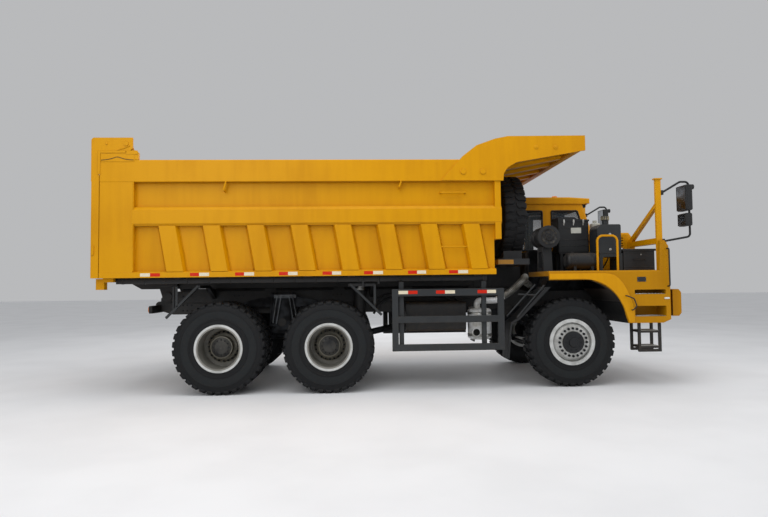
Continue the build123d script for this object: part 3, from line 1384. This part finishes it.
def gate_lugs():
    """Fork plates on the left corner post and the pin that the gate's arm hangs on."""
    x, z = GATE_PIVOT
    arm_in = BODY_HALF_W - GATE_ARM_T
    lugs = []
    for y, thick in ((SKIN_Y, 16), (arm_in - 26, 18)):
        foot = SIDE_TOP - 20
        plate = side_plate([(x - 140, foot), (x + 140, foot), (x + 60, z), (x - 60, z)], y, y + thick)
        lugs.append(plate + bar((x, y, z), (x, y + thick, z), 62))
    pin = bar((x, SKIN_Y - 4, z), (x, BODY_HALF_W + 4, z), GATE_PIN_R)
    head = bar((x, BODY_HALF_W + FIT, z), (x, BODY_HALF_W + 10, z), GATE_PIN_R + 10)
    return fuse(lugs, pin, head)


def body_tub():
    """Open load tub: floor, ribbed side walls, front wall and tailgate lugs."""
    return fuse(both(fuse(body_side(), gate_lugs())), front_wall(), body_floor())


def body_canopy():
    """Cab guard: side plates lapping the top rails, raked roof sheet, ribs and front lip."""
    y0, y1 = BODY_HALF_W, BODY_HALF_W + 20
    tip = CANOPY_FRONT
    upper_edge = [
        (590, RAIL_LOW + 10), (910, 3520), (1130, 3690), (1410, 3790), (1610, 3830), (tip, CANOPY_TOP),
    ]
    lower_edge = [
        (tip, 3610), (2730, 3600), (1910, 3460), (1740, 3430), (1600, 3350), (1540, 3260), (1530, RAIL_LOW),
    ]
    side = side_plate(upper_edge + lower_edge, y0, y1)
    bosses = [bar((x, y0, 3290), (x, y1 + 14, 3290), 42) for x in (920, 1220)]
    inner = side_plate(
        [(1100, SIDE_TOP), (BODY_FRONT + 60, SIDE_TOP), (BODY_FRONT + 60, 3690), (1130, 3600)], y0 - 40, y0,
    )
    foot, head = (BODY_FRONT - 40, SIDE_TOP), (tip, 3720)
    sheet = side_plate(
        [foot, (BODY_FRONT + 90, SIDE_TOP), head, (tip, head[1] + 25), (foot[0], foot[1] + 40)], -y0, y0,
    )
    lip = side_plate(
        [(tip - 90, 3655), (tip - 75, 3640), (tip, 3640), (tip, CANOPY_TOP), (tip - 90, CANOPY_TOP)], -y0, y0,
    )
    rib_profile = [
        (BODY_FRONT + 95, SIDE_TOP - 60), (tip - 60, 3660), (tip - 60, 3725), (BODY_FRONT + 95, SIDE_TOP + 10),
    ]
    ribs = [side_plate(rib_profile, y - 70, y + 70) for y in (-1450, -870, -290, 290, 870, 1450)]
    return fuse(both(fuse(side, bosses, inner)), sheet, lip, ribs)




def tailgate():
    """Top-hung tailgate: skin, pressed rails and posts, hinge arms and latch lugs."""
    x1 = BODY_REAR - 8
    x0 = x1 - GATE_T
    half = BODY_HALF_W
    skin = box(x1 - 16, x1, -half, half, BODY_BOTTOM, GATE_TOP)
    rails = [
        side_plate(
            [(x1 - 10, z0), (x1 - 10, z1), (x0 + 25, z1), (x0, z1 - 20), (x0, z0 + 20), (x0 + 25, z0)],
            -half, half,
        )
        for z0, z1 in ((BODY_BOTTOM, BODY_BOTTOM + 130), (2180, 2300), (2680, 2800), (GATE_TOP - 130, GATE_TOP))
    ]
    posts = [
        flat_plate(
            [(x1 - 10, y - 60), (x1 - 10, y + 60), (x0 + 8, y + 45), (x0 + 8, y - 45)], BODY_BOTTOM,
            GATE_TOP,
        )
        for y in (-850, 0, 850)
    ]
    edge = box(x0, x1 - 10, half - 120, half, BODY_BOTTOM, GATE_TOP)
    latch = box(x0 + 13, x0 + 48, half - 60, half + 14, 2080, 2210)
    px, pz = GATE_PIVOT
    arm = side_plate(
        [
            (
                x0 - 5, GATE_TOP - 100,
            ), (x0 - 5, pz + 60), (x0 + 25, pz + 90), (px + 95, pz + 90), (px + 95, pz - 70),
            (px + 58, pz - 103), (px, GATE_ARM_LOW), (x1 - 10, GATE_ARM_LOW), (x1 - 10, GATE_TOP - 100),
        ],
        half - GATE_ARM_T, half,
    )
    arm -= bar((px, half - GATE_ARM_T - 5, pz), (px, half + 5, pz), GATE_PIN_R + FIT)
    return fuse(skin, rails, posts, both(fuse(edge, latch, arm)))


# ---------------------------------------------------------------- hoist
def hoist_axis():
    """Unit vector from the foot pin to the body eye, and its length."""
    dx, dz = HOIST_EYE[0] - HOIST_FOOT[0], HOIST_EYE[1] - HOIST_FOOT[1]
    length = hypot(dx, dz)
    return dx / length, dz / length, length


def hoist_tube(start, end, outer, inner, y):
    """Piece of cylinder tube between two distances from the foot pin."""
    ux, uz, _ = hoist_axis()
    p = (HOIST_FOOT[0] + ux * start, y, HOIST_FOOT[1] + uz * start)
    q = (HOIST_FOOT[0] + ux * end, y, HOIST_FOOT[1] + uz * end)
    tube = bar(p, q, outer)
    return tube - bar(p, q, inner) if inner else tube


HOIST_HEAD = 110      # eye to the top of the barrel
GLAND = 40            # guide ring at the mouth of each tube


def hoist_barrels():
    """Outer tubes of the twin telescopic cylinders with their foot eyes."""
    length = hoist_axis()[2]
    top = length - HOIST_HEAD - 40
    parts = []
    for y in (-HOIST_Y, HOIST_Y):
        tube = hoist_tube(60, top, HOIST_R, 0, y)
        tube -= hoist_tube(90, top - GLAND, HOIST_R - STAGE_STEP + 2, 0, y)
        tube -= hoist_tube(top - GLAND - 1, top + 1, HOIST_R - STAGE_STEP + FIT, 0, y)
        collar = hoist_tube(top - 60, top, HOIST_R + COLLAR, HOIST_R - 4, y)
        x, z = HOIST_FOOT
        eye = bar((x, y - 40, z), (x, y + 40, z), 68)
        parts.append(fuse(tube, collar, eye) - bar((x, y - 45, z), (x, y + 45, z), 35 + FIT))
    return fuse(parts)


def hoist_stage(number):
    """Sliding tube of both cylinders; the last one is the rod with its ball head."""
    length = hoist_axis()[2]
    last = number == HOIST_STAGES
    outer = HOIST_R - number * STAGE_STEP
    top = length - HOIST_HEAD - 40 + 20 * number
    start = 92 + 6 * number
    parts = []
    for y in (-HOIST_Y, HOIST_Y):
        if last:
            rod = hoist_tube(start, length, ROD_R, 0, y)
            x, z = HOIST_EYE
            head = bar((x, y - EAR_GAP + FIT, z), (x, y + EAR_GAP - FIT, z), ROD_R - 1)
            parts.append(fuse(rod, head))
        else:
            inner = outer - STAGE_STEP
            tube = hoist_tube(start, top, outer, inner + 2 if number < HOIST_STAGES - 1 else inner + 8, y)
            ring = hoist_tube(
                top - GLAND, top, outer - 1, (inner if number < HOIST_STAGES - 1 else inner - 6) + FIT, y,
            )
            parts.append(fuse(tube, ring))
    return fuse(parts)


# ---------------------------------------------------------------- nodes
NODES = {
    "chassis_frame": chassis_frame,
    "tow_eyes": tow_eyes,
    "front_axle": front_axle,
    "front_springs": front_springs,
    "tandem_axles": tandem_axles,
    "tandem_springs": tandem_springs,
    "propeller_shafts": propeller_shafts,
    "engine_block": engine_block,
    "engine_hood": engine_hood,
    "coolant_tank": coolant_tank,
    "fender_right": fender_right,
    "fender_left": fender_left,
    "front_bumper": front_bumper,
    "access_ladders": access_ladders,
    "cab_shell": cab_shell,
    "cab_roof": cab_roof,
    "cab_glass": cab_glass,
    "cab_door": cab_door,
    "door_glass": door_glass,
    "driver_seat": driver_seat,
    "steering_console": steering_console,
    "air_cleaner": air_cleaner,
    "oil_tank": oil_tank,
    "air_tank": air_tank,
    "battery_box": battery_box,
    "deck_rails": deck_rails,
    "mirrors": mirrors,
    "side_guards": side_guards,
    "side_tanks": side_tanks,
    "exhaust": exhaust,
    "mudguards": mudguards,
    "spare_carrier": spare_carrier,
    "spare_tyre": spare_tyre,
    "spare_rim": spare_rim,
    "lamps": lamps,
    "lamp_housings": lamp_housings,
    "knuckle_left": knuckle,
    "knuckle_right": lambda: other_side(knuckle()),
    "tie_rod": tie_rod,
    "front_tyre_left": lambda: tyre(FRONT_AXLE_X, FRONT_WHEEL_Y),
    "front_tyre_right": lambda: tyre(FRONT_AXLE_X, -FRONT_WHEEL_Y),
    "front_rim_left": lambda: front_rim(FRONT_WHEEL_Y),
    "front_rim_right": lambda: other_side(front_rim(FRONT_WHEEL_Y)),
    "body_tub": body_tub,
    "body_underframe": body_underframe,
    "body_canopy": body_canopy,
    "tailgate": tailgate,
    "hoist_barrels": hoist_barrels,
}
for number in range(1, HOIST_STAGES + 1):
    NODES[f"hoist_stage_{number}"] = lambda n=number: hoist_stage(n)
for place, axle_x in (("middle", MIDDLE_AXLE_X), ("rear", REAR_AXLE_X)):
    for side, turn in (("left", lambda s: s), ("right", other_side)):
        NODES[f"{place}_tyres_{side}"] = lambda x=axle_x, t=turn: t(
            fuse(tyre(x, OUTER_TWIN_Y), tyre(x, INNER_TWIN_Y)),
        )
        NODES[f"{place}_rims_{side}"] = lambda x=axle_x, t=turn: t(rear_rims(x))

for name, make in NODES.items():
    shape = make()
    export_step(shape, f"parts/{name}.step")
